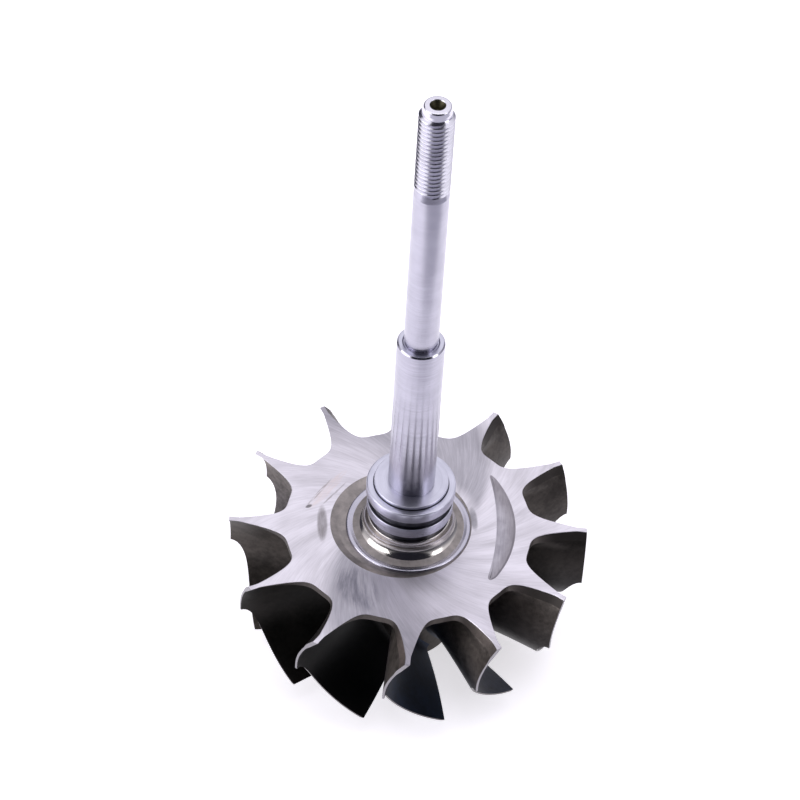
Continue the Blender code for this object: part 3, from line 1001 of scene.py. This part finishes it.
@dataclass
class Shaft:
    """The steel turning: seal boss, journal, compressor seat and threaded end."""

    finishes: Finishes
    relief_radius: float = 7.2
    land_radius: float = 8.15
    land_levels: Point = (5.5, 7.8)
    groove_radius: float = 7.4
    flange_radius: float = 8.4
    flange_levels: Point = (9.9, 12.1)
    step_radius: float = 7.0
    undercut: float = 0.12
    pitch: float = 0.907
    root_radius: float = 2.62
    thread_top: float = 106.3
    lead_in: float = 0.45
    hole_radius: float = 1.35
    thread_steps: int = 72

    def build(self) -> None:
        """Model every piece of the shaft."""
        self.seal_boss()
        self.journal()
        self.compressor_seat()
        self.threaded_end()

    def steel(self, piece: Object, node: str, choose: Chooser | None = None) -> None:
        """Finish a turned piece in steel, and let it stand for its node."""
        finish_piece(piece, [self.finishes.steel, self.finishes.groove, self.finishes.shoulder], node,
                     choose or self.choose_steel)

    @staticmethod
    def choose_steel(face: MeshPolygon) -> int:
        """Return the number of the finish: 2 on a flat shoulder and 0 round the shaft."""
        return 2 if abs(face.normal.z) > 0.8 else 0

    def choose_boss_steel(self, face: MeshPolygon) -> int:
        """Return the number of the finish: 1 in the boss's grooves and undercut, darkened by stain and by
        painted shade, and 2 elsewhere.
        """
        radius, level = radius_of(face.center), level_of(face.center)
        groove = radius < self.land_radius - 0.15 and level < self.flange_levels[0] + 0.1
        cut = radius < self.step_radius + self.undercut and level < self.flange_levels[1] + 0.14
        return 1 if groove or cut else 2

    def seal_boss(self) -> None:
        """Turn the weld relief, the lower land, the ring groove, the flange and the step."""
        foot, ease, step, cut = NECK_TOP - 0.2, 0.12, self.step_radius, self.undercut
        (land_low, land_high), (flange_low, flange_high) = self.land_levels, self.flange_levels
        profile = ease_corners([
            (0.0, foot, 0), (self.relief_radius, foot, 0), (self.relief_radius, land_low, 0.3),
            (self.land_radius, land_low, ease), (self.land_radius, land_high, ease),
            (self.groove_radius, land_high, 0.1), (self.groove_radius, flange_low, 0.1),
            (self.flange_radius, flange_low, ease), (self.flange_radius, flange_high, 0.28),
            (step + 0.15, flange_high, 0.04), (step + 0.1, flange_high - 0.18, 0.03),
            (step - cut, flange_high - 0.18, 0.03), (step - cut, flange_high + 0.15, 0.03),
            (step, flange_high + 0.2, 0.04), (step, STEP_TOP, 0.15), (0.0, STEP_TOP, 0)])
        self.steel(turn_piece("seal_boss_turned", profile), "seal_boss", self.choose_boss_steel)

    def journal(self) -> None:
        """Turn the journal, with a fine chamfer and an undercut at the shoulder."""
        foot, low, chamfer, dip = STEP_TOP - 0.9, JOURNAL_RADIUS - self.undercut, 0.3, 0.25
        profile = ease_corners([
            (0.0, foot, 0), (low, foot, 0), (low, STEP_TOP + 0.4, 0.1),
            (JOURNAL_RADIUS, STEP_TOP + 0.5, 0.1), (JOURNAL_RADIUS, JOURNAL_TOP - chamfer, 0.1),
            (JOURNAL_RADIUS - chamfer, JOURNAL_TOP, 0.1), (3.4, JOURNAL_TOP, 0.1),
            (3.2, JOURNAL_TOP - dip, 0.05), (0.0, JOURNAL_TOP - dip, 0)])
        self.steel(turn_piece("journal_turned", profile), "journal")

    def compressor_seat(self) -> None:
        """Turn the slim shaft, with its relief at the foot and its taper below the thread."""
        foot, low = JOURNAL_TOP - 0.6, SEAT_RADIUS - 0.125
        profile = ease_corners([
            (0.0, foot, 0), (low, foot, 0), (low, JOURNAL_TOP + 0.8, 0.1),
            (SEAT_RADIUS, JOURNAL_TOP + 0.95, 0.1), (SEAT_RADIUS, SEAT_TOP - 1.35, 0.3),
            (2.72, SEAT_TOP, 0.1), (2.6, SEAT_TOP + 0.1, 0), (0.0, SEAT_TOP + 0.1, 0)])
        self.steel(turn_piece("compressor_seat_turned", profile), "compressor_seat")

    def plain_end(self) -> Object:
        """Turn the rounded end above the thread, with its centre hole."""
        hole, foot, top = self.hole_radius, self.thread_top - 0.2, SHAFT_END
        profile = ease_corners([
            (0.0, foot, 0), (2.6, foot, 0), (2.6, 107.0, 0.2),
            (2.5, 107.5, 0.1), (2.4, top, 0.38), (hole + 0.06, top, 0.04), (hole, top - 0.1, 0.03),
            (0.5, top - 1.56, 0.1), (0.5, top - 1.85, 0), (0.0, top - 1.9, 0)])
        end = turn_piece("plain_end", profile, 96)
        dress(end, [self.finishes.thread, self.finishes.bore],
              lambda face: int(radius_of(face.center) < hole and level_of(face.center) > 104.5))
        return end

    def threaded_end(self) -> None:
        """Wind the thread up the shaft, cut it square and join the plain end to it."""
        crest, root, outside = self.pitch / 8, self.pitch / 4, SEAT_RADIUS - 0.01
        flank = (self.pitch - crest - root) / 2
        corners = [(outside, 0.0, 0), (outside, crest, 0.03), (self.root_radius, crest + flank, 0.07),
                   (self.root_radius, crest + flank + root, 0.07), (outside, self.pitch, 0)]
        start = SEAT_TOP - 2 * self.pitch
        line = [(radius * MM, 0.0, height(start + rise)) for radius, rise in ease_corners(corners, 3)]
        thread = draw_line("threaded_end_turned", line)
        apply_modifier(thread, "SCREW", axis="Z", screw_offset=self.pitch * MM,
                       iterations=ceil((self.thread_top - start) / self.pitch) + 2,
                       steps=self.thread_steps, render_steps=self.thread_steps,
                       use_merge_vertices=True, merge_threshold=MERGE)
        for vertex in thread.data.vertices:
            radius = radius_of(vertex.co)
            left = clamp((self.thread_top - level_of(vertex.co)) / self.lead_in)
            limit = self.root_radius + (SEAT_RADIUS - self.root_radius) * left
            vertex.co.x *= min(1.0, limit / radius)
            vertex.co.y *= min(1.0, limit / radius)
        edit_all()
        bpy.ops.mesh.remove_doubles(threshold=MERGE)
        bpy.ops.mesh.bisect(plane_co=(0, 0, height(SEAT_TOP)), plane_no=(0, 0, 1), clear_inner=True)
        bpy.ops.mesh.edge_face_add()
        bpy.ops.mesh.select_all(action="SELECT")
        bpy.ops.mesh.bisect(plane_co=(0, 0, height(self.thread_top)), plane_no=(0, 0, 1), clear_outer=True)
        bpy.ops.mesh.edge_face_add()
        tidy_skin()
        dress(thread, [self.finishes.thread, self.finishes.bore])
        end = self.plain_end()
        select_only(thread)
        end.select_set(True)
        bpy.ops.object.join()
        shade(thread)
        mount_piece(thread, "threaded_end")


@dataclass(frozen=True)
class Studio:
    """A white table, a soft tent of light and the camera of the photograph."""

    elevation: float = 47.33
    roll: float = 3.75
    camera_place: Triple = (-3.112, -442.752, 542.865)
    lens: float = 160.96
    sensor: float = 36.0
    table_size: float = 6.0

    def build(self) -> None:
        """Set up the table, the light and the camera."""
        bpy.context.scene.view_settings.view_transform = "Standard"
        self.table()
        self.tent()
        self.lamps()
        self.camera()

    def table(self) -> None:
        """Lay the pale, glowing table that the wheel stands on, with painted shade towards the camera and
        the right.
        """
        clear_selection()
        bpy.ops.mesh.primitive_plane_add(size=self.table_size, location=(0, 0, CAD_BOX[0].z))
        top = named("table_top")
        rest_at_origin()
        sheet = bpy.data.materials.new("white_table")
        sheet.use_nodes = True
        bench = NodeBench(sheet.node_tree)
        x, y, _ = bench.split(bench.where("Object"))
        # Painted shade: the table's colour and glow fall off towards the camera and the right, where less
        # light reaches it.
        table_falloff_shade = (x * 0.45 - y).between(0.070, 0.118)
        bench.wire(sheet.node_tree.nodes["Principled BSDF"], {
            "Base Color": bench.blend(table_falloff_shade, rgb(0.83, 0.82, 0.87), rgb(0.38, 0.38, 0.42)),
            "Emission Color": bench.blend(table_falloff_shade, rgb(1.0, 0.98, 1.0), rgb(0.34, 0.33, 0.39)),
            "Emission Strength": 0.62, "Roughness": 0.8})
        dress(top, [sheet])

    def tent(self) -> None:
        """Make the soft surround: white above and at the left, dark where the camera stands."""
        world = bpy.data.worlds.new("tent")
        bpy.context.scene.world = world
        world.use_nodes = True
        bench = NodeBench(world.node_tree)
        east, north, up = bench.split(bench.where("Generated"))
        west = (0.5 - east * 0.5).between(0.0, 1.0)
        low = bench.blend(west, rgb(0.22, 0.22, 0.27), rgb(0.62, 0.61, 0.67))
        low = bench.blend((0.0 - north).between(0.2, 0.7), low, rgb(0.04, 0.04, 0.05))
        light = bench.blend(up.between(0.10, 0.65), low, rgb(1.10, 1.08, 1.15))
        light = bench.blend(up.between(0.80, 0.97), light, rgb(1.6, 1.58, 1.66))
        behind = north * 0.70 - east * 0.66 + up * 0.26
        light = bench.blend(behind.between(0.86, 0.95), light, rgb(0.05, 0.05, 0.07))
        ahead = east * 0.08 - north * 0.72 + up * 0.69
        light = bench.blend(ahead.between(0.72, 0.82), light, rgb(0.02, 0.02, 0.03))
        bench.wire(world.node_tree.nodes["Background"], {"Color": light, "Strength": 1.0})

    def lamps(self) -> None:
        """Hang the soft boxes: a large one at the left and a weak one at the right."""
        for name, spot, wide, high, power in (("left_box", (-0.75, -0.34, 0.42), 0.78, 0.42, 3.5),
                                              ("right_box", (0.70, -0.25, 0.50), 0.30, 0.30, 0.8)):
            data = bpy.data.lights.new(name, "AREA")
            data.shape, data.size, data.size_y, data.energy = "RECTANGLE", wide, high, power
            data.color = (0.97, 0.96, 1.0)
            lamp = bpy.data.objects.new(name, data)
            bpy.context.scene.collection.objects.link(lamp)
            lamp.location = spot
            aim = Vector((0, 0, 0.04)) - Vector(spot)
            lamp.rotation_euler = aim.to_track_quat("-Z", "Y").to_euler()

    def camera(self) -> None:
        """Place the camera where the photograph was taken from."""
        data = bpy.data.cameras.new("view")
        data.lens, data.sensor_width, data.sensor_fit = self.lens, self.sensor, "HORIZONTAL"
        data.clip_start, data.clip_end = 0.05, 10.0
        viewer = bpy.data.objects.new("view", data)
        bpy.context.scene.collection.objects.link(viewer)
        tilt, roll = radians(self.elevation), radians(self.roll)
        right, up = Vector((1, 0, 0)), Vector((0, sin(tilt), cos(tilt)))
        back = Vector((0, -cos(tilt), sin(tilt)))
        across = right * cos(roll) + up * sin(roll)
        rise = up * cos(roll) - right * sin(roll)
        turn = Matrix((across, rise, back)).transposed().to_4x4()
        viewer.matrix_world = Matrix.Translation(Vector(self.camera_place) * MM) @ turn
        bpy.context.scene.camera = viewer


def main() -> None:
    """Build the wheel, the shaft and the studio, and note the sizes."""
    logging.basicConfig(level=logging.INFO, format="%(name)s: %(message)s")
    finishes = Finishes()
    Casting(finishes, BladeForm(), DiscForm()).build()
    Shaft(finishes).build()
    Studio().build()


if __name__ == "__main__":
    main()
